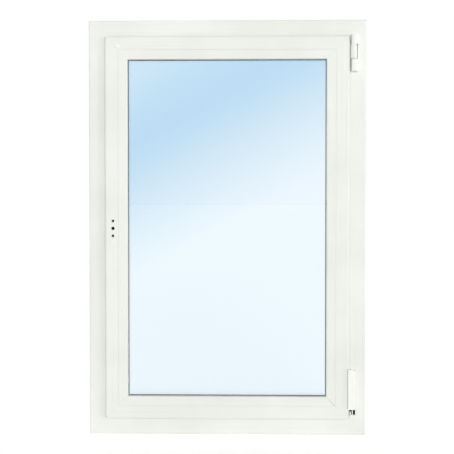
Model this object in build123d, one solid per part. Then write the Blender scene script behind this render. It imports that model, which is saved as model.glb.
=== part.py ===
from build123d import *
import os

# Single-sash PVC window, seen from the room: X across, Y out through the wall, Z up.
# The origin is the middle of the sill profile's underside. The room face is at -Y.
# Every section is drawn as (inward, depth): millimetres in from the window's outer edge, and Y.

# Outer frame
window_width = 800
window_height = 1200
frame_depth = 70
frame_face = 55
frame_upstand = 20
upstand_thickness = 11.5
frame_edge_radius = 3
upstand_bevel = 5

# Sash
sash_projection = 15
sash_lip_cover = 8.5
sash_lip_thickness = 10
sash_face_width = 39.5
sash_edge_radius = 7
sash_corner_radius = 11
rebate_clearance = 6
stop_seal_gap = 3.5
sash_bevel_width = 8
sash_bevel_drop = 6

# Profile walls
outer_wall = 2.8
web_thickness = 1.5
frame_steel_chamber = 28
sash_steel_chamber = 14
soft_radius = 1
overcut = 1

# Grooves along the frame's back, for anchors and joining profiles
back_groove_mouth = 7
back_groove_width = 10
back_groove_depth = 6
back_groove_lip = 2
back_groove_offset = 22

# Hardware groove round the sash
hardware_groove_axis = 13
faceplate_width = 16
faceplate_thickness = 2.6
hardware_slot_width = 12
hardware_slot_depth = 8
groove_clearance = 0.2

# Glass unit
pane_thickness = 4
pane_spacing = 16
glass_edge_cover = 20
outer_edge_cover = 12.5
packer_thickness = 5
packer_length = 100
packer_corner_distance = 80
spacer_height = 6.5
spacer_wall = 0.5
edge_seal_height = 5

# Glazing bead
bead_depth = 16.5
bead_cover = 4
bead_toe = 6
bead_wall = 1.3
bead_joint = 0.2
bead_joint_radius = 0.3
bead_sight_radius = 4
bead_sight_step = 1
bead_foot_thickness = 1.6
bead_foot_reach = 5
bead_barb = 1
bead_groove_offset = 9

# Seals
inner_glazing_seal = 3.5
outer_glazing_seal = 4.5
glazing_seal_width = 9
glazing_seal_show = 1.2
lip_seal_width = 4
lip_seal_setback = 1.5
stop_seal_width = 6
stop_seal_setback = 2
seal_foot_width = 2.6
seal_foot_depth = 3.6
seal_foot_clearance = 0.2

# Handle holes and gearbox on the left stile
handle_backset = 9.5
handle_height = 600
handle_screw_spacing = 43
handle_screw_hole = 8
spindle_hole = 10
spindle_square = 7
follower_diameter = 12
follower_clearance = 0.1
gearbox_thickness = 11.6
gearbox_width = 17
gearbox_lug = 8.5
gearbox_radius = 2
gearbox_plate_length = 220
gearbox_screw_hole = 9
pocket_clearance = 0.6

# Hinges on the right stile
hinge_axis_inset = 33.2
hinge_axis_proud = 12
hinge_pin_diameter = 5
hinge_pin_clearance = 0.05
hinge_pin_cover = 6
arm_thickness = 2.8
arm_face_gap = 1.4
arm_leg_gap = 1.2
arm_notch = 0.4

# Upper hinge
stay_bearing_height = 106
stay_bearing_top = 43
stay_bearing_corner = 7
stay_bearing_left = 9.8
stay_bearing_right = 11.5
stay_front_reach = 11
stay_front_radius = 18
stay_front_shift = 1.2
stay_edge_radius = 1.5
stay_knuckle_height = 40
stay_knuckle_drop = 30
stay_knuckle_top_gap = 0.6
stay_knuckle_bottom_gap = 1.4
stay_knuckle_left = 11.8
stay_knuckle_right = 4.9
stay_arm_setback = 1
backbone_thickness = 3
backbone_proud = 11.5
bearing_back_plate = 0.8

# Lower hinge on the sash
corner_cover_width = 24.4
corner_cover_bottom = 78
corner_cover_height = 116.5
corner_cover_depth = 24
corner_cover_slant = 5
corner_cover_lap = 5.2
corner_cover_radius = 8
corner_cover_lap_radius = 2
corner_cover_wall = 1.6
corner_cover_gap = 0.4
corner_band_barrel = 8.6
corner_band_barrel_height = 100
corner_band_arm_height = 78
corner_band_arm_rise = 18.5

# Lower hinge on the frame
pivot_bottom = 58
pivot_height = 17
pivot_right_reach = 6.7
pivot_width = 19.2
pivot_plate_thickness = 3
pivot_plate_height = 19
pivot_plate_inset = 0.4
pivot_tongue_rise = 1.5
pivot_tongue_thickness = 2
pivot_tongue_width = 8
pivot_cap_clearance = 0.2
pivot_ledge_height = 5
pivot_ledge_proud = 22
pivot_ledge_radius = 2
pivot_rib_proud = 16
pivot_wall_thickness = 3.5
pivot_rib_thickness = 2.8
pivot_rib_gap = 0.4
pivot_block_width = 3.8
pivot_block_drop = 3.7
pivot_pin_engagement = 18
pivot_pin_end_gap = 2

# Drainage on the outside of the sill
drain_cap_length = 44
drain_cap_height = 13
drain_cap_proud = 4.5
drain_cap_wall = 1.5
drain_cap_radius = 2
drain_cap_bevel = 0.8
drain_slot_length = 28
drain_slot_height = 5
drain_corner_distance = 150
drain_slot_rise = 12

# Planes and lines that the pieces share
frame_room_face = -frame_depth / 2
frame_outer_face = frame_depth / 2
upstand_inner_face = frame_outer_face - upstand_thickness
sash_room_face = frame_room_face - sash_projection
sash_outer_face = upstand_inner_face - stop_seal_gap
lip_back_face = sash_room_face + sash_lip_thickness
frame_sight = frame_face + frame_upstand
lip_edge = frame_face - sash_lip_cover
sash_back = frame_face + rebate_clearance
bead_line = lip_edge + sash_face_width
rebate_floor = bead_line + bead_cover
glass_edge = rebate_floor + packer_thickness
sight_line = glass_edge + glass_edge_cover
bead_edge = sight_line - bead_sight_step
outer_sight_line = glass_edge + outer_edge_cover
bead_back_face = sash_room_face + bead_depth
glass_room_face = bead_back_face + inner_glazing_seal
inner_pane_back = glass_room_face + pane_thickness
outer_pane_front = inner_pane_back + pane_spacing
glass_outer_face = outer_pane_front + pane_thickness
glazing_lip_face = glass_outer_face + outer_glazing_seal
groove_axis = lip_back_face + hardware_groove_axis
hinge_axis_depth = frame_room_face - hinge_axis_proud
handle_line = sash_back + handle_backset
bead_groove_line = sash_room_face + bead_groove_offset
frame_seal_line = frame_sight - stop_seal_setback - stop_seal_width / 2
lip_seal_line = lip_edge + lip_seal_setback + lip_seal_width / 2
outer_glazing_seal_line = outer_sight_line - glazing_seal_width / 2
mitre_reach = 2 * sight_line
handle_x = handle_line - window_width / 2
handle_screw_heights = (handle_height - handle_screw_spacing / 2, handle_height + handle_screw_spacing / 2)
gearbox_height = handle_screw_spacing + 2 * gearbox_lug
hinge_x = window_width / 2 - hinge_axis_inset


def shape(points):
    return make_face(Polyline(*points, close=True))


def strip(inward_low, inward_high, depth_low, depth_high):
    width = inward_high - inward_low
    height = depth_high - depth_low
    middle = ((inward_low + inward_high) / 2, (depth_low + depth_high) / 2)
    return Pos(*middle) * Rectangle(width, height)


def soften(section, corner, radius):
    nearest = section.vertices().sort_by_distance((corner[0], corner[1], 0))[0]
    return fillet(nearest, radius)


def block(x_range, y_range, z_range):
    size = [high - low for low, high in (x_range, y_range, z_range)]
    middle = [(high + low) / 2 for low, high in (x_range, y_range, z_range)]
    return Pos(*middle) * Box(*size)


def chambers(section, wall, webs):
    """The hollows inside a section, between its walls and the webs across them."""
    hollows = offset(section, amount=-wall, kind=Kind.INTERSECTION)
    for web in webs:
        hollows -= web
    return hollows


def side_place(side):
    """Turns and moves a piece built along the sill to one side of the window."""
    places = {
        "bottom": Location((0, 0, 0), (0, 0, 0)),
        "top": Location((0, 0, window_height), (0, 180, 0)),
        "left": Location((-window_width / 2, 0, window_height / 2), (0, 90, 0)),
        "right": Location((window_width / 2, 0, window_height / 2), (0, -90, 0)),
    }
    return places[side]


def side_length(side):
    return window_width if side in ("bottom", "top") else window_height


def straight_length(section, length):
    start = Plane(origin=(length / 2, 0, 0), x_dir=(0, 0, 1), z_dir=(-1, 0, 0))
    return extrude(start * section, amount=length, dir=(-1, 0, 0))


def mitre_cut(length):
    """The wedge between the two 45 degree cuts that run in from the outer corners."""
    outline = [
        (-length / 2, 0),
        (length / 2, 0),
        (length / 2 - mitre_reach, mitre_reach),
        (-length / 2 + mitre_reach, mitre_reach),
    ]
    ground = Plane(origin=(0, frame_depth, 0), x_dir=(1, 0, 0), z_dir=(0, -1, 0))
    return extrude(ground * shape(outline), amount=2 * frame_depth, dir=(0, -1, 0))


def mitred(section, side):
    length = side_length(side)
    piece = straight_length(section, length) & mitre_cut(length)
    return side_place(side) * piece


def ring(section):
    """A seal or spacer that runs round all four corners in one piece."""
    return mitred(section, "bottom") + [mitred(section, side) for side in ("right", "top", "left")]


def back_groove(depth):
    mouth = strip(0, back_groove_depth, depth - back_groove_mouth / 2, depth + back_groove_mouth / 2)
    half = back_groove_width / 2
    undercut = strip(back_groove_lip, back_groove_depth, depth - half, depth + half)
    return mouth + undercut


def frame_section():
    outline = shape([
        (0, frame_room_face),
        (frame_face, frame_room_face),
        (frame_face, upstand_inner_face),
        (frame_sight, upstand_inner_face),
        (frame_sight, frame_outer_face - upstand_bevel),
        (frame_sight - upstand_bevel, frame_outer_face),
        (0, frame_outer_face),
    ])
    outline = soften(outline, (0, frame_room_face), frame_edge_radius)
    outline = soften(outline, (0, frame_outer_face), frame_edge_radius)
    outline = soften(outline, (frame_face, frame_room_face), soft_radius)
    outline = soften(outline, (frame_sight, upstand_inner_face), soft_radius)
    for depth in (-back_groove_offset, back_groove_offset):
        outline -= back_groove(depth)
    outline -= seal_slot(frame_seal_line, upstand_inner_face, 1)
    half_chamber = frame_steel_chamber / 2
    room_side = (frame_room_face - half_chamber) / 2
    outer_side = (frame_outer_face + half_chamber) / 2
    webs = []
    for depth in (-half_chamber, half_chamber, room_side, outer_side):
        webs.append(strip(0, frame_sight, depth - web_thickness / 2, depth + web_thickness / 2))
    return outline - chambers(outline, outer_wall, webs)


def seal_slot(inward, face, direction):
    """The slot that a seal's foot sits in, cut from a face along +Y or -Y."""
    half = seal_foot_width / 2 + seal_foot_clearance
    bottom = face + direction * (seal_foot_depth + seal_foot_clearance)
    return strip(inward - half, inward + half, min(face, bottom), max(face, bottom))


def seal_section(inward_low, inward_high, seat, sealed, foot_line, foot_direction):
    """A seal between the face it is fitted to and the face it presses on, with its foot."""
    body = strip(inward_low, inward_high, min(seat, sealed), max(seat, sealed))
    foot_end = seat + foot_direction * seal_foot_depth
    half = seal_foot_width / 2
    foot = strip(foot_line - half, foot_line + half, min(seat, foot_end), max(seat, foot_end))
    return body + foot


def hardware_groove():
    plate_half = faceplate_width / 2 + groove_clearance
    plate_seat = strip(sash_back, sash_back + faceplate_thickness + groove_clearance,
                       groove_axis - plate_half, groove_axis + plate_half)
    slot_half = hardware_slot_width / 2
    slot = strip(sash_back, sash_back + hardware_slot_depth, groove_axis - slot_half, groove_axis + slot_half)
    return plate_seat + slot


def bead_groove():
    half = bead_foot_thickness / 2 + bead_joint
    mouth = strip(rebate_floor - bead_foot_reach - bead_joint, rebate_floor,
                  bead_groove_line - half, bead_groove_line + half)
    undercut_low = rebate_floor - bead_foot_reach - bead_joint
    undercut_high = undercut_low + bead_barb + 2 * bead_joint
    undercut = strip(undercut_low, undercut_high, bead_groove_line - half, bead_groove_line + half + bead_barb)
    return mouth + undercut


def sash_outline():
    outline = shape([
        (lip_edge, sash_room_face),
        (bead_line, sash_room_face),
        (bead_line, sash_room_face + bead_toe),
        (rebate_floor, sash_room_face + bead_toe),
        (rebate_floor, glazing_lip_face),
        (outer_sight_line, glazing_lip_face),
        (outer_sight_line, sash_outer_face - sash_bevel_drop),
        (outer_sight_line - sash_bevel_width, sash_outer_face),
        (sash_back, sash_outer_face),
        (sash_back, lip_back_face),
        (lip_edge, lip_back_face),
    ])
    outline = soften(outline, (bead_line, sash_room_face), bead_joint_radius)
    outline = soften(outline, (outer_sight_line, glazing_lip_face), soft_radius)
    outline = soften(outline, (outer_sight_line, sash_outer_face - sash_bevel_drop), soft_radius)
    outline = soften(outline, (sash_back, sash_outer_face), soft_radius)
    outline = outline - hardware_groove() - bead_groove()
    outline -= seal_slot(lip_seal_line, lip_back_face, -1)
    return outline - seal_slot(outer_glazing_seal_line, glazing_lip_face, 1)


def sash_chambers():
    room_web = groove_axis - faceplate_width / 2 - outer_wall
    steel_start = groove_axis + faceplate_width / 2 + outer_wall
    steel_end = steel_start + sash_steel_chamber
    webs = []
    for depth in (room_web, steel_start, steel_end):
        webs.append(strip(lip_edge, outer_sight_line, depth - web_thickness / 2, depth + web_thickness / 2))
    webs.append(strip(rebate_floor - web_thickness, rebate_floor, steel_start, sash_outer_face))
    return chambers(sash_outline(), outer_wall, webs)


def bead_section():
    outer_edge = bead_line + bead_joint
    floor = rebate_floor + bead_joint
    seat = sash_room_face + bead_toe - bead_joint
    outline = shape([
        (outer_edge, sash_room_face),
        (bead_edge, sash_room_face),
        (bead_edge, bead_back_face),
        (floor, bead_back_face),
        (floor, seat),
        (outer_edge, seat),
    ])
    outline = soften(outline, (outer_edge, sash_room_face), bead_joint_radius)
    outline = soften(outline, (bead_edge, sash_room_face), bead_sight_radius)
    outline -= chambers(outline, bead_wall, [])
    half = bead_foot_thickness / 2
    foot_end = rebate_floor - bead_foot_reach
    foot = strip(foot_end, floor, bead_groove_line - half, bead_groove_line + half)
    barb = strip(foot_end, foot_end + bead_barb, bead_groove_line - half, bead_groove_line + half + bead_barb)
    return outline + foot + barb


def frame_member(side):
    member = mitred(frame_section(), side)
    if side == "bottom":
        for x in drain_places():
            member -= drain_slot(x)
    return member


def sash_envelope(inset):
    """The sash's rounded outer shape, or the same shape set in by a wall for its chambers."""
    width = window_width - 2 * (lip_edge + inset)
    height = window_height - 2 * (lip_edge + inset)
    start = Plane(origin=(0, sash_room_face + inset, window_height / 2), x_dir=(1, 0, 0), z_dir=(0, 1, 0))
    outline = start * RectangleRounded(width, height, sash_corner_radius - inset)
    envelope = extrude(outline, amount=frame_depth + sash_projection, dir=(0, 1, 0))
    return fillet(envelope.faces().sort_by(Axis.Y)[0].edges(), sash_edge_radius - inset)


def sash_member(side):
    member = mitred(sash_outline(), side) & sash_envelope(0)
    member -= mitred(sash_chambers(), side) & sash_envelope(outer_wall)
    if side == "left":
        member = member - gearbox_pocket() - handle_holes()
    return member


def along_depth(diameter, x, z, depth_low, depth_high):
    middle = (depth_low + depth_high) / 2
    rod = Cylinder(diameter / 2, depth_high - depth_low)
    return Pos(x, middle, z) * Rot(90, 0, 0) * rod


def upright(diameter, x, y, z_low, z_high):
    return Pos(x, y, (z_low + z_high) / 2) * Cylinder(diameter / 2, z_high - z_low)


def handle_holes():
    """The spindle hole and the two screw holes, drilled from the room face to the pocket."""
    start = sash_room_face - overcut
    holes = along_depth(spindle_hole, handle_x, handle_height, start, groove_axis)
    for z in handle_screw_heights:
        holes += along_depth(handle_screw_hole, handle_x, z, start, groove_axis)
    return holes


def gearbox_pocket():
    """The pocket milled into the stile behind the hardware groove."""
    back = -window_width / 2 + sash_back
    half_height = gearbox_height / 2 + pocket_clearance
    half_depth = gearbox_thickness / 2 + pocket_clearance
    reach = faceplate_thickness + gearbox_width + pocket_clearance
    return block(
        (back - overcut, back + reach),
        (groove_axis - half_depth, groove_axis + half_depth),
        (handle_height - half_height, handle_height + half_height),
    )


def gearbox():
    seat = -window_width / 2 + sash_back + groove_clearance
    plate = block(
        (seat, seat + faceplate_thickness),
        (groove_axis - faceplate_width / 2, groove_axis + faceplate_width / 2),
        (handle_height - gearbox_plate_length / 2, handle_height + gearbox_plate_length / 2),
    )
    case = block(
        (seat + faceplate_thickness, seat + faceplate_thickness + gearbox_width - groove_clearance),
        (groove_axis - gearbox_thickness / 2, groove_axis + gearbox_thickness / 2),
        (handle_height - gearbox_height / 2, handle_height + gearbox_height / 2),
    )
    case = fillet(case.edges().filter_by(Axis.Y).group_by(Axis.X)[-1], gearbox_radius)
    near = groove_axis - gearbox_thickness
    far = groove_axis + gearbox_thickness
    bore = follower_diameter + 2 * follower_clearance
    case -= along_depth(bore, handle_x, handle_height, near, far)
    for z in handle_screw_heights:
        case -= along_depth(gearbox_screw_hole, handle_x, z, near, far)
    return plate + case


def gearbox_follower():
    half = gearbox_thickness / 2
    body = along_depth(follower_diameter, handle_x, handle_height, groove_axis - half, groove_axis + half)
    square = Pos(handle_x, groove_axis, handle_height) * Box(spindle_square, frame_depth, spindle_square)
    return body - square


def glass_pane(depth_low, depth_high):
    half = window_width / 2 - glass_edge
    return block((-half, half), (depth_low, depth_high), (glass_edge, window_height - glass_edge))


def spacer_bar():
    start = glass_edge + edge_seal_height
    section = strip(start, start + spacer_height, inner_pane_back, outer_pane_front)
    inside = strip(start + spacer_wall, start + spacer_height - spacer_wall,
                   inner_pane_back + spacer_wall, outer_pane_front - spacer_wall)
    return ring(section - inside)


def edge_seal():
    return ring(strip(glass_edge, glass_edge + edge_seal_height, inner_pane_back, outer_pane_front))


def glass_packers():
    """Two packers a side between the rebate floor and the glass edge."""
    section = strip(rebate_floor, glass_edge, glass_room_face, glass_outer_face)
    packers = []
    for side in ("bottom", "right", "top", "left"):
        distance = side_length(side) / 2 - glass_edge - packer_corner_distance
        for x in (-distance, distance):
            packers.append(side_place(side) * Pos(x, 0, 0) * straight_length(section, packer_length))
    return Compound(children=packers)


def inner_glazing_seal_ring():
    return ring(strip(bead_edge - glazing_seal_width, bead_edge + glazing_seal_show,
                      bead_back_face, glass_room_face))


def outer_glazing_seal_ring():
    return ring(seal_section(outer_sight_line - glazing_seal_width, outer_sight_line + glazing_seal_show,
                             glazing_lip_face, glass_outer_face, outer_glazing_seal_line, 1))


def stop_seal_ring():
    high = frame_sight - stop_seal_setback
    return ring(seal_section(high - stop_seal_width, high, upstand_inner_face, sash_outer_face,
                             frame_seal_line, 1))


def lip_seal_ring():
    low = lip_edge + lip_seal_setback
    seal = ring(seal_section(low, low + lip_seal_width, lip_back_face, frame_room_face, lip_seal_line, -1))
    for z_range in (stay_arm_span(), corner_arm_span()):
        seal -= arm_room(z_range)
    return seal


def right_x(inward):
    return window_width / 2 - inward


def upright_prism(section, z_range):
    low, high = z_range
    return Pos(0, 0, low) * extrude(section, amount=high - low)


def stay_section(left, right, back):
    """A piece of the upper hinge seen from above: flat sides and a front that bulges slightly."""
    front = hinge_axis_depth - stay_front_reach
    bulge = Pos(hinge_x + stay_front_shift, front + stay_front_radius) * Circle(stay_front_radius)
    section = strip(left, right, front, back) & bulge
    for side in (left, right):
        section = soften(section, (side, front), stay_edge_radius)
    return section


def pin_room(z_low, z_high):
    return upright(hinge_pin_diameter + 2 * hinge_pin_clearance, hinge_x, hinge_axis_depth, z_low, z_high)


def stay_bearing_span():
    high = window_height - stay_bearing_top
    return (high - stay_bearing_height, high)


def stay_knuckle_span():
    high = stay_bearing_span()[1] - stay_knuckle_drop
    return (high - stay_knuckle_height, high)


def stay_bearing():
    """The upper bearing on the frame: two knuckles on a low backbone."""
    low, high = stay_bearing_span()
    left = hinge_x - stay_bearing_left
    right = hinge_x + stay_bearing_right
    front = hinge_axis_depth - stay_front_reach
    envelope = block((left, right), (front, frame_room_face), (low, high))
    envelope = fillet(envelope.edges().filter_by(Axis.Y).group_by(Axis.X)[-1], stay_bearing_corner)
    body = upright_prism(stay_section(left, right, frame_room_face), (low, high)) & envelope
    knuckle_low, knuckle_high = stay_knuckle_span()
    room = (knuckle_low - stay_knuckle_bottom_gap, knuckle_high + stay_knuckle_top_gap)
    backbone_left = right - backbone_thickness
    body -= block((left - overcut, backbone_left), (front, frame_room_face - bearing_back_plate), room)
    body -= block((backbone_left - overcut, right + overcut), (front, frame_room_face - backbone_proud), room)
    return body - pin_room(low - overcut, high - hinge_pin_cover)


def stay_bearing_pin():
    low, high = stay_bearing_span()
    return upright(hinge_pin_diameter, hinge_x, hinge_axis_depth, low, high - hinge_pin_cover)


def arm_depths():
    far = frame_room_face - arm_face_gap
    return (far - arm_thickness, far)


def arm_room(z_range):
    """What the lip seal gives up where a hinge arm passes behind the sash lip."""
    near, far = arm_depths()
    low, high = z_range
    return block(
        (right_x(sash_back), hinge_x),
        (near - arm_notch - seal_foot_depth - overcut, frame_room_face + overcut),
        (low - arm_notch, high + arm_notch),
    )


def hinge_arm(z_range):
    """The cranked arm: behind the lip, along the rebate, and into the hardware groove."""
    near, far = arm_depths()
    leg_near = frame_face + arm_leg_gap
    leg_far = leg_near + arm_thickness
    plate_low = groove_axis - faceplate_width / 2
    plate_high = groove_axis + faceplate_width / 2
    tail = block((right_x(leg_far), hinge_x), (near, far), z_range)
    leg = block((right_x(leg_far), right_x(leg_near)), (near, plate_high), z_range)
    foot_end = sash_back + faceplate_thickness
    foot = block((right_x(foot_end), right_x(leg_far)), (plate_low, plate_high), z_range)
    return tail + leg + foot


def stay_arm_span():
    low, high = stay_knuckle_span()
    return (low + stay_arm_setback, high - stay_arm_setback)


def stay_arm():
    """The sash's half of the upper hinge: its knuckle and cranked arm."""
    low, high = stay_knuckle_span()
    section = stay_section(hinge_x - stay_knuckle_left, hinge_x + stay_knuckle_right, arm_depths()[1])
    knuckle = upright_prism(section, (low, high)) + hinge_arm(stay_arm_span())
    return knuckle - pin_room(low - overcut, high + overcut)


def corner_arm_span():
    low = corner_cover_bottom + corner_band_arm_rise
    return (low, low + corner_band_arm_height)


def corner_band():
    """The sash's half of the lower hinge: a barrel on a cranked arm, under its cover."""
    low = corner_cover_bottom
    barrel = upright(corner_band_barrel, hinge_x, hinge_axis_depth, low, low + corner_band_barrel_height)
    near, far = arm_depths()
    web = block((hinge_x - corner_band_barrel / 2, hinge_x), (hinge_axis_depth, far), corner_arm_span())
    band = barrel + web + hinge_arm(corner_arm_span())
    return band - pin_room(low - overcut, low + pivot_pin_engagement + pivot_pin_end_gap)


def cover_section():
    """The lower cover seen from above: its front laps over the sash's rounded edge."""
    lap_left = right_x(lip_edge + corner_cover_lap)
    left = right_x(lip_edge) + corner_cover_gap
    right = lap_left + corner_cover_width
    front = frame_room_face - corner_cover_depth
    back = frame_room_face - corner_cover_gap
    lap_back = sash_room_face - corner_cover_gap
    outline = shape([
        (lap_left, front),
        (right, front),
        (right, back),
        (left, back),
        (left, lap_back),
        (lap_left, lap_back),
    ])
    outline = soften(outline, (right, front), corner_cover_radius)
    return soften(outline, (lap_left, front), corner_cover_lap_radius)


def corner_cover():
    """The tall cover over the lower hinge: slanted on top, open below, slotted for the arm."""
    low = corner_cover_bottom
    high = low + corner_cover_height
    section = cover_section()
    left = right_x(lip_edge)
    right = right_x(lip_edge + corner_cover_lap) + corner_cover_width
    wall = corner_cover_wall
    inside = offset(section, amount=-wall, kind=Kind.INTERSECTION)
    inside += strip(left + corner_cover_gap + wall, right - wall, hinge_axis_depth, frame_room_face)
    inside_top = high - wall - corner_cover_slant
    near, far = arm_depths()
    arm_slot = block(
        (left, left + corner_cover_gap + 2 * wall),
        (near - corner_cover_gap, frame_room_face),
        (low - overcut, corner_arm_span()[1] + corner_cover_gap),
    )
    cover = upright_prism(section, (low, high)) - upright_prism(inside, (low - overcut, inside_top)) - arm_slot
    slant_start = (right_x(lip_edge + corner_cover_lap), 0, high)
    slant = Plane(origin=slant_start, x_dir=(corner_cover_width, 0, -corner_cover_slant),
                  z_dir=(corner_cover_slant, 0, corner_cover_width))
    return split(cover, bisect_by=slant, keep=Keep.BOTTOM)


def pivot_edges():
    """The left and right sides of the lower bearing."""
    right = hinge_x + pivot_right_reach
    return (right - pivot_width, right)


def pivot_tongue(clearance):
    """The steel tongue that carries the pin, or the room for it in the cap."""
    half = pivot_tongue_width / 2 + clearance
    low = pivot_bottom + pivot_tongue_rise
    front = hinge_axis_depth - half
    back = frame_room_face - pivot_plate_thickness
    z_range = (low - clearance, low + pivot_tongue_thickness + clearance)
    return block((hinge_x - half, hinge_x + half), (front, back), z_range)


def pivot_bearing():
    """The steel half of the lower hinge on the frame: back plate and tongue."""
    left, right = pivot_edges()
    plate = block(
        (left + pivot_plate_inset, right - pivot_plate_inset),
        (frame_room_face - pivot_plate_thickness, frame_room_face),
        (pivot_bottom, pivot_bottom + pivot_plate_height),
    )
    bearing = plate + pivot_tongue(0)
    return bearing - pin_room(pivot_bottom - overcut, pivot_bottom + pivot_height)


def pivot_bearing_cap():
    """The white cap on the steel bearing: ledge, side wall, rib beside the pin, and stop block."""
    left, right = pivot_edges()
    low = pivot_bottom
    high = low + pivot_height
    back = frame_room_face - pivot_plate_thickness
    rib_depths = (frame_room_face - pivot_rib_proud, back)
    rib_right = hinge_x - hinge_pin_diameter / 2 - pivot_rib_gap
    ledge = block((left, right), (frame_room_face - pivot_ledge_proud, back), (low, low + pivot_ledge_height))
    ledge = fillet(ledge.edges().filter_by(Axis.Z).group_by(Axis.Y)[0], pivot_ledge_radius)
    wall = block((right - pivot_wall_thickness, right), rib_depths, (low, high))
    rib = block((rib_right - pivot_rib_thickness, rib_right), rib_depths, (low, high))
    stop = block((left, left + pivot_block_width), rib_depths, (low, high - pivot_block_drop))
    cap = ledge + wall + rib + stop - pivot_tongue(pivot_cap_clearance)
    return cap - pin_room(low + pivot_tongue_rise, high)


def pivot_pin():
    low = pivot_bottom + pivot_tongue_rise
    return upright(hinge_pin_diameter, hinge_x, hinge_axis_depth, low, corner_cover_bottom + pivot_pin_engagement)


def drain_places():
    reach = window_width / 2 - drain_corner_distance
    return (-reach, reach)


def drain_slot(x):
    half = drain_slot_length / 2
    return block(
        (x - half, x + half),
        (frame_outer_face - 2 * outer_wall, frame_outer_face + overcut),
        (drain_slot_rise, drain_slot_rise + drain_slot_height),
    )


def drain_cap(x):
    """A hooded cap over a drain slot, open below."""
    half = drain_cap_length / 2
    low = drain_slot_rise - (drain_cap_height - drain_slot_height) / 2
    high = low + drain_cap_height
    face = frame_outer_face
    outside = block((x - half, x + half), (face, face + drain_cap_proud), (low, high))
    outside = fillet(outside.edges().filter_by(Axis.Y), drain_cap_radius)
    outside = chamfer(outside.faces().sort_by(Axis.Y)[-1].edges(), drain_cap_bevel)
    inside = block(
        (x - half + drain_cap_wall, x + half - drain_cap_wall),
        (face - overcut, face + drain_cap_proud - drain_cap_wall),
        (low - overcut, high - drain_cap_wall),
    )
    return outside - inside


def drain_caps():
    return Compound(children=[drain_cap(x) for x in drain_places()])


side_names = {
    "frame": {"bottom": "sill", "top": "head", "left": "handle_jamb", "right": "hinge_jamb"},
    "sash": {"bottom": "bottom_rail", "top": "top_rail", "left": "handle_stile", "right": "hinge_stile"},
    "glazing_bead": {"bottom": "bottom", "top": "top", "left": "handle_side", "right": "hinge_side"},
}

pieces = {}
for side, name in side_names["frame"].items():
    pieces["frame_" + name] = frame_member(side)
for side, name in side_names["sash"].items():
    pieces["sash_" + name] = sash_member(side)
for side, name in side_names["glazing_bead"].items():
    pieces["glazing_bead_" + name] = mitred(bead_section(), side)

pieces["pane_inner"] = glass_pane(glass_room_face, inner_pane_back)
pieces["pane_outer"] = glass_pane(outer_pane_front, glass_outer_face)
pieces["spacer_bar"] = spacer_bar()
pieces["edge_seal"] = edge_seal()
pieces["glass_packers"] = glass_packers()
pieces["inner_glazing_seal"] = inner_glazing_seal_ring()
pieces["outer_glazing_seal"] = outer_glazing_seal_ring()
pieces["frame_stop_seal"] = stop_seal_ring()
pieces["sash_lip_seal"] = lip_seal_ring()
pieces["gearbox"] = gearbox()
pieces["gearbox_follower"] = gearbox_follower()
pieces["stay_bearing"] = stay_bearing()
pieces["stay_bearing_pin"] = stay_bearing_pin()
pieces["stay_arm"] = stay_arm()
pieces["corner_band"] = corner_band()
pieces["corner_band_cover"] = corner_cover()
pieces["pivot_bearing"] = pivot_bearing()
pieces["pivot_bearing_cap"] = pivot_bearing_cap()
pieces["pivot_pin"] = pivot_pin()
pieces["drain_caps"] = drain_caps()

os.makedirs("parts", exist_ok=True)
for name, piece in pieces.items():
    export_step(piece, "parts/" + name + ".step")
    print(name, round(sum(solid.volume for solid in piece.solids())))
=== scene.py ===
import math

import bmesh
import bpy
from mathutils import Euler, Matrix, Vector


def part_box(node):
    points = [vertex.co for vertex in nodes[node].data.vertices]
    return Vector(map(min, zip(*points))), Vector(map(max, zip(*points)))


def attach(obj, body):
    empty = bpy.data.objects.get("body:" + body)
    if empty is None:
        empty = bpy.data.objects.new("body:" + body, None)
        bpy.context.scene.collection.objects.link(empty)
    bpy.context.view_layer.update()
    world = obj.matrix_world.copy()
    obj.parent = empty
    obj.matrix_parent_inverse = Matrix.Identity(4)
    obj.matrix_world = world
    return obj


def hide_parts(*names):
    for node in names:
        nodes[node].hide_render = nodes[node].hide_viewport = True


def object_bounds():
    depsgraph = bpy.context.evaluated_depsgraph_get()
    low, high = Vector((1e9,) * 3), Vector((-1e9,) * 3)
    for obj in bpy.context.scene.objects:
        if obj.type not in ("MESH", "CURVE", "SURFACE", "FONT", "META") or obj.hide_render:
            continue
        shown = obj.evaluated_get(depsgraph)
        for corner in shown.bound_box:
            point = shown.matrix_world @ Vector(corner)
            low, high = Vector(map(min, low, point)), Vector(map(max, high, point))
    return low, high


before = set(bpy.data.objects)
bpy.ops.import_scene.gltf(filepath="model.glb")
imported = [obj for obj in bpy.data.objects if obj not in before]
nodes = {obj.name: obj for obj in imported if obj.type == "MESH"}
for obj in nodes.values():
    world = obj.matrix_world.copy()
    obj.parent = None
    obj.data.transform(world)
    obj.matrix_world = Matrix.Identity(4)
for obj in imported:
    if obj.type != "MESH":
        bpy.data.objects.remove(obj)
cadLow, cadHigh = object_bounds()
print("frame loaded:", len(nodes), "nodes")

mm = 0.001
smoothAngle = math.radians(35)


def hexColor(text):
    # sRGB hex to the linear values that sockets take
    values = [int(text[i:i + 2], 16) / 255 for i in (1, 3, 5)]
    linear = [v / 12.92 if v <= 0.04045 else ((v + 0.055) / 1.055) ** 2.4 for v in values]
    return (*linear, 1.0)


def addNode(tree, kind, settings=None, links=None):
    # settings name a property or an input; links map an input to another node's output
    node = tree.nodes.new(kind)
    for key, value in (settings or {}).items():
        if isinstance(key, int) or key in node.inputs:
            node.inputs[key].default_value = value
        else:
            setattr(node, key, value)
    for key, socket in (links or {}).items():
        tree.links.new(socket, node.inputs[key])
    return node


def newMaterial(name):
    material = bpy.data.materials.new(name)
    material.use_nodes = True
    material.node_tree.nodes.clear()
    return material, material.node_tree


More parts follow.
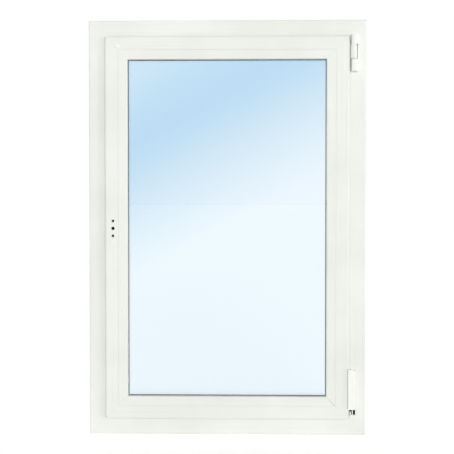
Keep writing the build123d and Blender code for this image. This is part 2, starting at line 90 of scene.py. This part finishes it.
def objectPlace(tree):
    return addNode(tree, "ShaderNodeTexCoord").outputs["Object"]


def noise(tree, where, scale, detail):
    settings = {"Scale": scale, "Detail": detail}
    return addNode(tree, "ShaderNodeTexNoise", settings, {"Vector": where}).outputs["Fac"]


def mixColors(tree, factor, first, second):
    settings = {"data_type": "RGBA", 6: hexColor(first), 7: hexColor(second)}
    return addNode(tree, "ShaderNodeMix", settings, {0: factor}).outputs[2]


def colorRamp(tree, factor, stops):
    # stops are (position, hex colour) from low to high
    node = addNode(tree, "ShaderNodeValToRGB", links={0: factor})
    ramp = node.color_ramp.elements
    while len(ramp) < len(stops):
        ramp.new(0.5)
    for stop, (position, tint) in zip(ramp, stops):
        stop.position = position
        stop.color = hexColor(tint)
    return node.outputs[0]


def mapRange(tree, value, target, source=(0.0, 1.0)):
    settings = {"From Min": source[0], "From Max": source[1], "To Min": target[0], "To Max": target[1]}
    return addNode(tree, "ShaderNodeMapRange", settings, {"Value": value}).outputs[0]


def closeMaterial(tree, shader, height=None, strength=0.0, distance=0.0):
    # a height, where given, goes in as bump
    if height is not None:
        settings = {"Strength": strength, "Distance": distance}
        bump = addNode(tree, "ShaderNodeBump", settings, {"Height": height})
        tree.links.new(bump.outputs["Normal"], shader.inputs["Normal"])
    addNode(tree, "ShaderNodeOutputMaterial", links={"Surface": shader.outputs[0]})


# Extruded white PVC: calibrated smooth, with faint die lines that run the length of the profile
# and a slow unevenness of whiteness. It gives the eye a soft satin white.
pvc = {
    "white": "#F3F5F0",
    "shade": "#ECEEE8",
    "shadeEnd": 0.4,
    "whiteStart": 0.75,
    "dieLinePitch": 1.6 * mm,
    "dieLineLength": 400 * mm,
    "dieLineHeight": 0.008 * mm,
    "dieLineShare": 0.18,
    "dieLineDetail": 3.0,
    "dieLineRange": (0.3, 0.7),
    "bumpStrength": 0.5,
    "cloudSize": 160 * mm,
    "cloudDetail": 2.0,
    "roughness": (0.26, 0.36),
    "ior": 1.53,
}


def extrudedPvc(name, alongZ):
    material, tree = newMaterial(name)
    where = objectPlace(tree)
    across, along = 1 / pvc["dieLinePitch"], 1 / pvc["dieLineLength"]
    scale = (across, across, along) if alongZ else (along, across, across)
    stretched = addNode(tree, "ShaderNodeMapping", {"Scale": scale}, {"Vector": where}).outputs[0]
    dieLines = noise(tree, stretched, 1.0, pvc["dieLineDetail"])
    clouds = noise(tree, where, 1 / pvc["cloudSize"], pvc["cloudDetail"])
    mixed = addNode(tree, "ShaderNodeMath", {"operation": "MULTIPLY_ADD", 1: pvc["dieLineShare"]},
                    {0: dieLines, 2: clouds}).outputs[0]
    stops = [(pvc["shadeEnd"], pvc["shade"]), (pvc["whiteStart"], pvc["white"])]
    color = colorRamp(tree, mixed, stops)
    rough = mapRange(tree, dieLines, pvc["roughness"], pvc["dieLineRange"])
    shader = addNode(tree, "ShaderNodeBsdfPrincipled", {"IOR": pvc["ior"]},
                     {"Base Color": color, "Roughness": rough})
    closeMaterial(tree, shader, dieLines, pvc["bumpStrength"], pvc["dieLineHeight"])
    return material


# Moulded ABS of the hinge covers, drain caps and plug: whiter than the profiles, with a fine
# spark-eroded grain that keeps the shine soft.
cover = {
    "white": "#FDFDFA",
    "shade": "#F8F9F5",
    "patchesPerMetre": 30.0,
    "patchDetail": 1.0,
    "grain": 0.5 * mm,
    "grainDetail": 2.0,
    "grainHeight": 0.01 * mm,
    "bumpStrength": 0.4,
    "roughness": (0.24, 0.4),
    "ior": 1.54,
}


def mouldedAbs(name):
    material, tree = newMaterial(name)
    where = objectPlace(tree)
    grain = noise(tree, where, 1 / cover["grain"], cover["grainDetail"])
    patches = noise(tree, where, cover["patchesPerMetre"], cover["patchDetail"])
    color = mixColors(tree, patches, cover["shade"], cover["white"])
    rough = mapRange(tree, grain, cover["roughness"])
    shader = addNode(tree, "ShaderNodeBsdfPrincipled", {"IOR": cover["ior"]},
                     {"Base Color": color, "Roughness": rough})
    closeMaterial(tree, shader, grain, cover["bumpStrength"], cover["grainHeight"])
    return material


# Extruded EPDM: matt rubber with a fine dry grain, paler with dust on the high spots. The same dry
# surface, in other colours, serves the edge seal, the packers, and the painted shade of open joints and
# spacer slots.
rubber = {
    "grain": 0.6 * mm,
    "grainDetail": 4.0,
    "grainHeight": 0.03 * mm,
    "bumpStrength": 0.5,
    "darkEnd": 0.4,
    "dustyStart": 0.75,
    "roughness": (0.55, 0.8),
    "ior": 1.52,
}


def epdmRubber(name, dark, dusty):
    material, tree = newMaterial(name)
    grain = noise(tree, objectPlace(tree), 1 / rubber["grain"], rubber["grainDetail"])
    color = colorRamp(tree, grain, [(rubber["darkEnd"], dark), (rubber["dustyStart"], dusty)])
    rough = mapRange(tree, grain, rubber["roughness"])
    shader = addNode(tree, "ShaderNodeBsdfPrincipled", {"IOR": rubber["ior"]},
                     {"Base Color": color, "Roughness": rough})
    closeMaterial(tree, shader, grain, rubber["bumpStrength"], rubber["grainHeight"])
    return material


# Float glass with a painted sky reflection in its colour: a blue that runs out diagonally, deepest in a band
# near the upper left, a little paler in the corner beyond it, and almost clear over the lower right. The
# outer pane is plain float glass, clear to the eye, with a hardly visible ripple of tint.
glass = {
    "ior": 1.52,
    "sideLean": 0.556,
    "blueEnd": -1.197,
    "clearEnd": -0.559,
    "tints": [(0.0, "#D1E8F8"), (0.14, "#C6E3F5"), (0.30, "#C0DFF5"), (0.40, "#C5E1F5"), (0.55, "#D3E9F7"),
              (0.73, "#E3F1FA"), (0.91, "#EFF8FF"), (1.0, "#F0F9FF")],
    "clearTints": ("#FAFDFF", "#FCFEFF"),
    "ripplesPerMetre": 6.0,
    "rippleDetail": 1.0,
}


def closeGlass(tree, color):
    settings = {"IOR": glass["ior"], "Roughness": 0.0, "Transmission Weight": 1.0}
    closeMaterial(tree, addNode(tree, "ShaderNodeBsdfPrincipled", settings, {"Base Color": color}))


def skyPaintedGlass(name):
    material, tree = newMaterial(name)
    parts = addNode(tree, "ShaderNodeSeparateXYZ", links={0: objectPlace(tree)})
    slope = addNode(tree, "ShaderNodeMath", {"operation": "MULTIPLY", 1: glass["sideLean"]},
                    {0: parts.outputs["X"]})
    down = addNode(tree, "ShaderNodeMath", {"operation": "SUBTRACT"},
                   {0: slope.outputs[0], 1: parts.outputs["Z"]})
    stretched = mapRange(tree, down.outputs[0], (0.0, 1.0), (glass["blueEnd"], glass["clearEnd"]))
    closeGlass(tree, colorRamp(tree, stretched, glass["tints"]))
    return material


def clearFloatGlass(name):
    material, tree = newMaterial(name)
    ripple = noise(tree, objectPlace(tree), glass["ripplesPerMetre"], glass["rippleDetail"])
    closeGlass(tree, mixColors(tree, ripple, *glass["clearTints"]))
    return material


# Metal with a mottling a few millimetres wide, as a plating bath leaves it. Zinc plating looks bright,
# the gearbox's blackened steel swallows the light, and mill-finish aluminium is pale and even.
metal = {"mottlesPerMetre": 220.0, "mottleDetail": 3.0, "mottleHeight": 0.02 * mm, "bumpStrength": 0.3}


def mottledMetal(name, light, dark, roughness):
    material, tree = newMaterial(name)
    mottle = noise(tree, objectPlace(tree), metal["mottlesPerMetre"], metal["mottleDetail"])
    color = mixColors(tree, mottle, dark, light)
    rough = mapRange(tree, mottle, roughness)
    shader = addNode(tree, "ShaderNodeBsdfPrincipled", {"Metallic": 1.0},
                     {"Base Color": color, "Roughness": rough})
    closeMaterial(tree, shader, mottle, metal["bumpStrength"], metal["mottleHeight"])
    return material


pvcAcross = extrudedPvc("extruded_white_pvc_across", False)
pvcUpright = extrudedPvc("extruded_white_pvc_upright", True)
absCover = mouldedAbs("moulded_white_abs_cover")
blackSeal = epdmRubber("black_epdm_seal", "#141514", "#2B2C2B")
greySeal = epdmRubber("grey_soft_seal", "#8E908C", "#A4A6A1")
sealantAndSlotShade = epdmRubber("black_sealant_and_slot_shade", "#101112", "#1D1E20")
jointShade = epdmRubber("open_joint_shade", "#8C8E89", "#A6A8A2")
seamShade = epdmRubber("cleaned_weld_seam", "#C9CBC5", "#D8DAD4")
packerPlastic = epdmRubber("blue_glazing_packer", "#22446E", "#2F5688")
paneGlass = skyPaintedGlass("float_glass_with_painted_sky")
clearGlass = clearFloatGlass("clear_float_glass")
plated = mottledMetal("zinc_plated_steel", "#C9CACC", "#A4A6A8", (0.28, 0.42))
# The pivot bearing's dark steel is partly its own colour and partly painted shade: it keeps the bearing's
# recesses and slots dark.
darkSteelAndShade = mottledMetal("dark_steel_and_recess_shade", "#3A3B3A", "#1C1D1C", (0.35, 0.5))
blackened = mottledMetal("blackened_steel_and_pocket_shade", "#191918", "#0B0B0B", (0.4, 0.55))
spacerMetal = mottledMetal("mill_finish_aluminium", "#CFD1D3", "#B9BBBE", (0.3, 0.4))

finishes = {
    "frame_sill": pvcAcross, "frame_head": pvcAcross,
    "frame_handle_jamb": pvcUpright, "frame_hinge_jamb": pvcUpright,
    "sash_bottom_rail": pvcAcross, "sash_top_rail": pvcAcross,
    "sash_handle_stile": pvcUpright, "sash_hinge_stile": pvcUpright,
    "glazing_bead_bottom": pvcAcross, "glazing_bead_top": pvcAcross,
    "glazing_bead_handle_side": pvcUpright, "glazing_bead_hinge_side": pvcUpright,
    "pane_inner": paneGlass, "pane_outer": clearGlass,
    "spacer_bar": spacerMetal, "edge_seal": sealantAndSlotShade, "glass_packers": packerPlastic,
    "inner_glazing_seal": blackSeal, "outer_glazing_seal": blackSeal,
    "frame_stop_seal": blackSeal, "sash_lip_seal": greySeal,
    "gearbox": blackened, "gearbox_follower": blackened,
    "stay_bearing": absCover, "stay_bearing_pin": plated, "stay_arm": absCover,
    "corner_band": plated, "corner_band_cover": absCover,
    "pivot_bearing": darkSteelAndShade, "pivot_bearing_cap": absCover, "pivot_pin": darkSteelAndShade,
    "drain_caps": absCover,
}
for name, material in finishes.items():
    nodes[name].data.materials.clear()
    nodes[name].data.materials.append(material)
print("finishes set:", len(finishes))


def addMesh(name, vertices, faces, edges=()):
    mesh = bpy.data.meshes.new(name)
    mesh.from_pydata(vertices, list(edges), faces)
    if faces:
        shape = bmesh.new()
        shape.from_mesh(mesh)
        bmesh.ops.recalc_face_normals(shape, faces=shape.faces)
        shape.to_mesh(mesh)
        shape.free()
    mesh.update()
    piece = bpy.data.objects.new(name, mesh)
    bpy.context.scene.collection.objects.link(piece)
    return piece


def newGroup(name, inputs):
    group = bpy.data.node_groups.new(name, "GeometryNodeTree")
    for label, kind in inputs.items():
        group.interface.new_socket(label, in_out="INPUT", socket_type="NodeSocket" + kind)
    group.interface.new_socket("Geometry", in_out="OUTPUT", socket_type="NodeSocketGeometry")
    return group, addNode(group, "NodeGroupInput").outputs


def closeGroup(group, given, geometry):
    # stands the piece up in the wall, makes it one mesh and gives it its finish
    stood = addNode(group, "GeometryNodeTransform", {"Rotation": (math.pi / 2, 0.0, 0.0)},
                    {"Geometry": geometry, "Translation": given["Middle"]})
    whole = addNode(group, "GeometryNodeRealizeInstances", links={"Geometry": stood.outputs[0]})
    done = addNode(group, "GeometryNodeSetMaterial",
                   links={"Geometry": whole.outputs[0], "Material": given["Finish"]})
    addNode(group, "NodeGroupOutput", links={0: done.outputs[0]})


def bakePiece(piece, group, values):
    # runs the group once on the piece and keeps what it makes as a plain mesh
    modifier = piece.modifiers.new(group.name, "NODES")
    modifier.node_group = group
    for item in group.interface.items_tree:
        if item.in_out == "INPUT" and item.name in values:
            modifier[item.identifier] = values[item.name]
    depsgraph = bpy.context.evaluated_depsgraph_get()
    mesh = bpy.data.meshes.new_from_object(piece.evaluated_get(depsgraph), depsgraph=depsgraph)
    piece.modifiers.clear()
    piece.data = mesh
    mesh.materials.clear()
    mesh.materials.append(values["Finish"])
    mesh.shade_smooth()
    mesh.set_sharp_from_angle(angle=smoothAngle)
    return piece


# Glazing seals, black EPDM: a section of (outward from the lip's tip, height over its seat) goes round the
# glass in one piece. The lip curls in to the glass, two ribs press on it behind, and a barbed foot grips.
seal = {
    "innerHeight": 3.5 * mm,
    "outerHeight": 4.5 * mm,
    "show": 1.2 * mm,
    "width": 10.2 * mm,
    "bodyShare": 0.52,
    "ribs": (4.2 * mm, 7.4 * mm),
    "ribWidth": 0.9 * mm,
    "ribTopShare": 0.4,
    "lipThickness": 0.7 * mm,
    "lipSteps": 6,
    "footPlace": 5.7 * mm,
    "footHeight": 3.6 * mm,
    "footStem": 1.2 * mm,
    "footBarb": 2.6 * mm,
    "barbStart": 0.3,
    "barbWidest": 0.35,
    "cornerRadius": 0.6 * mm,
    "cornerSteps": 4,
}


def sealOutline(height, footed):
    outline = []
    for step in range(seal["lipSteps"] + 1):
        turn = math.pi / 2 * step / seal["lipSteps"]
        outline.append((seal["show"] * (1 - math.cos(turn)), height * (1 - math.sin(turn))))
    if footed:
        stem, barb = seal["footStem"] / 2, seal["footBarb"] / 2
        place, foot = seal["footPlace"], seal["footHeight"]
        start, widest = -seal["barbStart"] * foot, -seal["barbWidest"] * foot
        outline += [(place - stem, 0), (place - stem, start), (place - barb, widest), (place - stem, -foot),
                    (place + stem, -foot), (place + barb, widest), (place + stem, start), (place + stem, 0)]
    body = height * seal["bodyShare"]
    outline += [(seal["width"], 0), (seal["width"], body)]
    foothold, top = seal["ribWidth"], seal["ribTopShare"] * seal["ribWidth"]
    for rib in reversed(seal["ribs"]):
        outline += [(rib + foothold, body), (rib + top, height), (rib - top, height), (rib - foothold, body)]
    outline += [(seal["show"] + seal["lipThickness"], body), (seal["lipThickness"], height)]
    return outline


sweep, given = newGroup("ring_sweep", {"Section": "Geometry", "Width": "Float", "Height": "Float",
                                       "Corner Radius": "Float", "Middle": "Vector", "Finish": "Material"})
sectionLine = addNode(sweep, "GeometryNodeMeshToCurve", links={"Mesh": given["Section"]})
rectangle = addNode(sweep, "GeometryNodeCurvePrimitiveQuadrilateral",
                    links={"Width": given["Width"], "Height": given["Height"]})
rounded = addNode(sweep, "GeometryNodeFilletCurve", {"mode": "POLY", "Count": seal["cornerSteps"]},
                  {"Curve": rectangle.outputs[0], "Radius": given["Corner Radius"]})
swept = addNode(sweep, "GeometryNodeCurveToMesh",
                links={"Curve": rounded.outputs[0], "Profile Curve": sectionLine.outputs[0]})
closeGroup(sweep, given, swept.outputs[0])


def sealRing(name, node, height, towardsRoom):
    # the seal that presses towards the room has the foot; the bead holds the other one
    low, high = (Vector(corner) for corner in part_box(node))
    outline = sealOutline(height, footed=towardsRoom)
    start = low.y
    if towardsRoom:
        outline = [(out, -depth) for out, depth in reversed(outline)]
        start = low.y + height
    points = [(out, depth, 0.0) for out, depth in outline]
    ring = addMesh(name, points, [], [(i, (i + 1) % len(points)) for i in range(len(points))])
    bakePiece(ring, sweep, {
        "Width": high.x - low.x - 2 * seal["width"],
        "Height": high.z - low.z - 2 * seal["width"],
        "Corner Radius": seal["cornerRadius"],
        "Middle": ((low.x + high.x) / 2, start, (low.z + high.z) / 2),
        "Finish": blackSeal,
    })
    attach(ring, "root")
    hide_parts(node)


sealRing("inner_glazing_seal_ring", "inner_glazing_seal", seal["innerHeight"], towardsRoom=False)
sealRing("outer_glazing_seal_ring", "outer_glazing_seal", seal["outerHeight"], towardsRoom=True)
print("glazing seals swept")

# The spacer bar's face towards the cavity has two rows of fine slots, which let the drying agent breathe. The
# slots are painted shade: thin black boxes on the face stand in for the dark of the holes.
slots = {
    "pitch": 4.0 * mm,
    "length": 1.5 * mm,
    "width": 0.35 * mm,
    "height": 0.04 * mm,
    "rowDistance": 8.0 * mm,
    "barHeight": 6.5 * mm,
}
perforate, given = newGroup("slot_rows", {"Width": "Float", "Height": "Float", "Pitch": "Float",
                                          "Slot": "Vector", "Row": "Float", "Middle": "Vector",
                                          "Finish": "Material"})
rectangle = addNode(perforate, "GeometryNodeCurvePrimitiveQuadrilateral",
                    links={"Width": given["Width"], "Height": given["Height"]})
points = addNode(perforate, "GeometryNodeCurveToPoints", {"mode": "LENGTH"},
                 {"Curve": rectangle.outputs[0], "Length": given["Pitch"]})
slotBox = addNode(perforate, "GeometryNodeMeshCube", links={"Size": given["Slot"]})
placed = addNode(perforate, "GeometryNodeInstanceOnPoints",
                 links={"Points": points.outputs["Points"], "Instance": slotBox.outputs["Mesh"],
                        "Rotation": points.outputs["Rotation"]})
back = addNode(perforate, "ShaderNodeMath", {"operation": "MULTIPLY", 1: -1.0}, {0: given["Row"]})
both = addNode(perforate, "GeometryNodeJoinGeometry")
for height in (given["Row"], back.outputs[0]):
    place = addNode(perforate, "ShaderNodeCombineXYZ", links={"Z": height})
    row = addNode(perforate, "GeometryNodeTransform",
                  links={"Geometry": placed.outputs[0], "Translation": place.outputs[0]})
    perforate.links.new(row.outputs[0], both.inputs[0])
closeGroup(perforate, given, both.outputs[0])

low, high = (Vector(corner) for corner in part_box("spacer_bar"))
slotRows = bakePiece(addMesh("spacer_bar_slots", [(0, 0, 0)], []), perforate, {
    "Width": high.x - low.x - 2 * slots["barHeight"],
    "Height": high.z - low.z - 2 * slots["barHeight"],
    "Pitch": slots["pitch"],
    "Slot": (slots["height"], slots["width"], slots["length"]),
    "Row": slots["rowDistance"] / 2,
    "Middle": (low + high) / 2,
    "Finish": sealantAndSlotShade,
})
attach(slotRows, "root")
print("spacer slots placed:", len(slotRows.data.polygons) // 6)

# A thin black sheet against the back wall of the gearbox's pocket is painted shade: it makes the three handle
# holes look dark. It is a guess, and it takes its own thickness off the end of the spindle's way.
shadeSheet = {
    "thickness": 0.05 * mm,
    "pocketGap": 0.6 * mm,
    "inset": 1.0 * mm,
    "width": 17.0 * mm,
    "height": 58.0 * mm,
}


def boxPiece(name, lowCorner, highCorner):
    xs, ys, zs = zip(lowCorner, highCorner)
    corners = [(x, y, z) for z in zs for y in ys for x in xs]
    faces = [(0, 2, 3, 1), (4, 5, 7, 6), (0, 1, 5, 4), (2, 6, 7, 3), (0, 4, 6, 2), (1, 3, 7, 5)]
    return addMesh(name, corners, faces)


followerLow, followerHigh = (Vector(corner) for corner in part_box("gearbox_follower"))
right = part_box("gearbox")[1][0] - shadeSheet["inset"]
wall = followerHigh.y + shadeSheet["pocketGap"]
middle = (followerLow.z + followerHigh.z) / 2
sheet = boxPiece("gearbox_pocket_shade_sheet",
                 (right - shadeSheet["width"], wall - shadeSheet["thickness"], middle - shadeSheet["height"] / 2),
                 (right, wall, middle + shadeSheet["height"] / 2))
sheet.data.materials.append(blackened)
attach(sheet, "root")

# A small domed plug near the upper left corner of the sash, white and moulded, closes a fixing hole. It is
# a reading of a faint mark in the photograph.
plug = {
    "place": (-315.0 * mm, 1123.5 * mm),
    "diameter": 10.0 * mm,
    "rise": 2.8 * mm,
    "sunk": 0.3 * mm,
    "rings": 6,
    "sides": 32,
    "smoothAngle": math.radians(50),
}


def domedPlug(name, faceDepth):
    x, z = plug["place"]
    radius, sides, rings = plug["diameter"] / 2, plug["sides"], plug["rings"]
    turns = [2 * math.pi * i / sides for i in range(sides)]
    # the sunk foot first, then rings up the dome
    levels = [(radius, faceDepth + plug["sunk"])]
    for ring in range(rings):
        lean = math.pi / 2 * ring / rings
        levels.append((radius * math.cos(lean), faceDepth - plug["rise"] * math.sin(lean)))
    vertices = [(x + reach * math.cos(turn), depth, z + reach * math.sin(turn))
                for reach, depth in levels for turn in turns]
    top = len(vertices)
    vertices.append((x, faceDepth - plug["rise"], z))
    faces = [tuple(reversed(range(sides)))]
    for start in range(0, rings * sides, sides):
        for i in range(sides):
            j = (i + 1) % sides
            faces.append((start + i, start + j, start + sides + j, start + sides + i))
    last = rings * sides
    faces += [(last + i, last + (i + 1) % sides, top) for i in range(sides)]
    return addMesh(name, vertices, faces)


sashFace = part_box("sash_top_rail")[0][1]
plugPiece = domedPlug("sash_corner_plug", sashFace)
plugPiece.data.materials.append(absCover)
plugPiece.data.shade_smooth()
plugPiece.data.set_sharp_from_angle(angle=plug["smoothAngle"])
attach(plugPiece, "root")

# Where profiles meet at 45 degrees a hairline shows: the beads' cut joints, which run over their rounded
# edge to the glass, and the cleaned weld seams of sash and frame. The grey of the bead joints is painted
# shade of the fine gap, and the bead joint at the lower right is drawn wider at its outer end, as painted
# shade of a joint that stands a little open.
joints = {
    "bead_mitre_joints": {
        "node": "glazing_bead_bottom", "slot": "bead_pvc", "finish": jointShade,
        "start": 86.4 * mm, "end": 110.0 * mm, "edgeRadius": 4.0 * mm, "openCorner": (1, -1),
    },
    "sash_weld_seams": {
        "node": "sash_bottom_rail", "slot": "white_pvc", "finish": seamShade,
        "start": 54.5 * mm, "end": 85.9 * mm, "edgeRadius": 0.0, "openCorner": None,
    },
    "frame_weld_seams": {
        "node": "frame_sill", "slot": "white_pvc", "finish": seamShade,
        "start": 4.0 * mm, "end": 46.0 * mm, "edgeRadius": 0.0, "openCorner": None,
    },
}
hairline = {"width": 0.12 * mm, "openWidths": (0.9 * mm, 0.45 * mm), "lift": 0.02 * mm, "edgeSteps": 5}


def mitreJoints(name, made):
    # four thin ribbons, one along the 45 degree joint of each corner
    face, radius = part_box(made["node"])[0][1], made["edgeRadius"]
    path = [(made["start"], 0.0), (made["end"], 0.0)]
    if radius:
        path += [(made["end"], math.pi / 2 * (step + 1) / hairline["edgeSteps"])
                 for step in range(hairline["edgeSteps"])]
    vertices, faces = [], []
    for corner in ((-1, -1), (1, -1), (1, 1), (-1, 1)):
        signX, signZ = corner
        cornerX, cornerZ = signX * cadHigh[0], cadHigh[2] if signZ > 0 else cadLow[2]
        outerWidth = innerWidth = hairline["width"]
        if corner == made["openCorner"]:
            outerWidth, innerWidth = hairline["openWidths"]
        first = len(vertices)
        for inward, turn in path:
            share = (inward - made["start"]) / (made["end"] - made["start"])
            half = (outerWidth + (innerWidth - outerWidth) * share) / 2 / math.sqrt(2)
            for side, lift in ((1, 1), (-1, 1), (-1, -1), (1, -1)):
                reach = radius + hairline["lift"] * lift
                out = inward + (reach + half) * math.sin(turn)
                depth = face + radius - reach * math.cos(turn)
                vertices.append((cornerX - signX * (out + side * half), depth,
                                 cornerZ - signZ * (out - side * half)))
        last = len(vertices) - 4
        for at in range(first, last, 4):
            faces += [(at + i, at + (i + 1) % 4, at + 4 + (i + 1) % 4, at + 4 + i) for i in range(4)]
        faces += [tuple(range(first, first + 4)), tuple(range(last, last + 4))]
    return addMesh(name, vertices, faces)


for name, made in joints.items():
    lines = mitreJoints(name, made)
    lines.data.materials.append(made["finish"])
    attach(lines, "root")
print("pocket lining, plug and corner joints placed")

# The camera of the photograph, fitted to the window's corners: 2.9 m away, a little above the handle
camera = {
    "place": (69 * mm, -2930 * mm, 674 * mm),
    "tiltDown": 0.0242,
    "turnLeft": 0.0238,
    "focalPixels": 1000.0,
    "imagePixels": 454,
    "sensor": 36.0,
}
cameraData = bpy.data.cameras.new("camera")
cameraData.sensor_width = camera["sensor"]
cameraData.lens = camera["sensor"] * camera["focalPixels"] / camera["imagePixels"]
cameraObject = bpy.data.objects.new("camera", cameraData)
cameraObject.location = camera["place"]
cameraObject.rotation_euler = Euler((math.pi / 2 - camera["tiltDown"], 0.0, camera["turnLeft"]))
bpy.context.scene.collection.objects.link(cameraObject)
bpy.context.scene.camera = cameraObject

# Plain light: an even white room, a very broad soft lamp in front, a like one behind for the outdoor side,
# and a small one well to the right. The lamps stand so far off and so low that they light the floor evenly,
# and the broad ones aren't mirrored in the glass.
light = {
    "roomWhite": "#FFFFFF",
    "roomStrength": 0.45,
    "farLamps": {
        "broad_front_lamp": {"from": (0.11, -1.0, 0.01), "spread": 25.0, "strength": 2.58, "mirrored": False},
        "broad_back_lamp": {"from": (-0.2, 1.0, 0.01), "spread": 25.0, "strength": 2.2, "mirrored": False},
        "side_lamp": {"from": (1.73, -1.0, 0.05), "spread": 6.0, "strength": 0.6, "mirrored": True},
    },
    "floorSize": 600.0,
    "floorWhite": "#F6F6F4",
    "floorLift": 0.53,
}


def seenDirectly(tree):
    # 1 for rays from the camera, a mirror or through glass, 0 for those that light the object
    path = addNode(tree, "ShaderNodeLightPath")
    glossy = addNode(tree, "ShaderNodeMath", {"operation": "MAXIMUM"},
                     {0: path.outputs["Is Camera Ray"], 1: path.outputs["Is Glossy Ray"]})
    return addNode(tree, "ShaderNodeMath", {"operation": "MAXIMUM"},
                   {0: glossy.outputs[0], 1: path.outputs["Is Transmission Ray"]}).outputs[0]


world = bpy.data.worlds.new("white_room")
bpy.context.scene.world = world
world.use_nodes = True
worldTree = world.node_tree
worldTree.nodes.clear()
strength = mapRange(worldTree, seenDirectly(worldTree), (light["roomStrength"], 1.0))
background = addNode(worldTree, "ShaderNodeBackground", {"Color": hexColor(light["roomWhite"])},
                     {"Strength": strength})
addNode(worldTree, "ShaderNodeOutputWorld", links={"Surface": background.outputs[0]})

for name, made in light["farLamps"].items():
    lampData = bpy.data.lights.new(name, "SUN")
    lampData.energy = made["strength"]
    lampData.angle = math.radians(made["spread"])
    lamp = bpy.data.objects.new(name, lampData)
    lamp.visible_glossy = lamp.visible_transmission = made["mirrored"]
    lamp.rotation_euler = (-Vector(made["from"])).to_track_quat("-Z", "Y").to_euler()
    bpy.context.scene.collection.objects.link(lamp)

# A pale matt floor, lifted towards white where the camera sees it, so that it reads as a studio sweep
floorMaterial, floorTree = newMaterial("pale_floor")
matt = addNode(floorTree, "ShaderNodeBsdfDiffuse", {"Color": hexColor(light["floorWhite"])})
lift = addNode(floorTree, "ShaderNodeMath", {"operation": "MULTIPLY", 1: light["floorLift"]},
               {0: seenDirectly(floorTree)})
glow = addNode(floorTree, "ShaderNodeEmission", links={"Strength": lift.outputs[0]})
lit = addNode(floorTree, "ShaderNodeAddShader", links={0: matt.outputs[0], 1: glow.outputs[0]})
closeMaterial(floorTree, lit)
half = light["floorSize"] / 2
floorCorners = [(-half, -half, 0), (half, -half, 0), (half, half, 0), (-half, half, 0)]
floorMesh = bpy.data.meshes.new("floor")
floorMesh.from_pydata(floorCorners, [], [(0, 1, 2, 3)])
floorMesh.materials.append(floorMaterial)
floor = bpy.data.objects.new("floor", floorMesh)
bpy.context.scene.collection.objects.link(floor)
bpy.context.scene.view_settings.view_transform = "Standard"
print("camera, light and floor set")
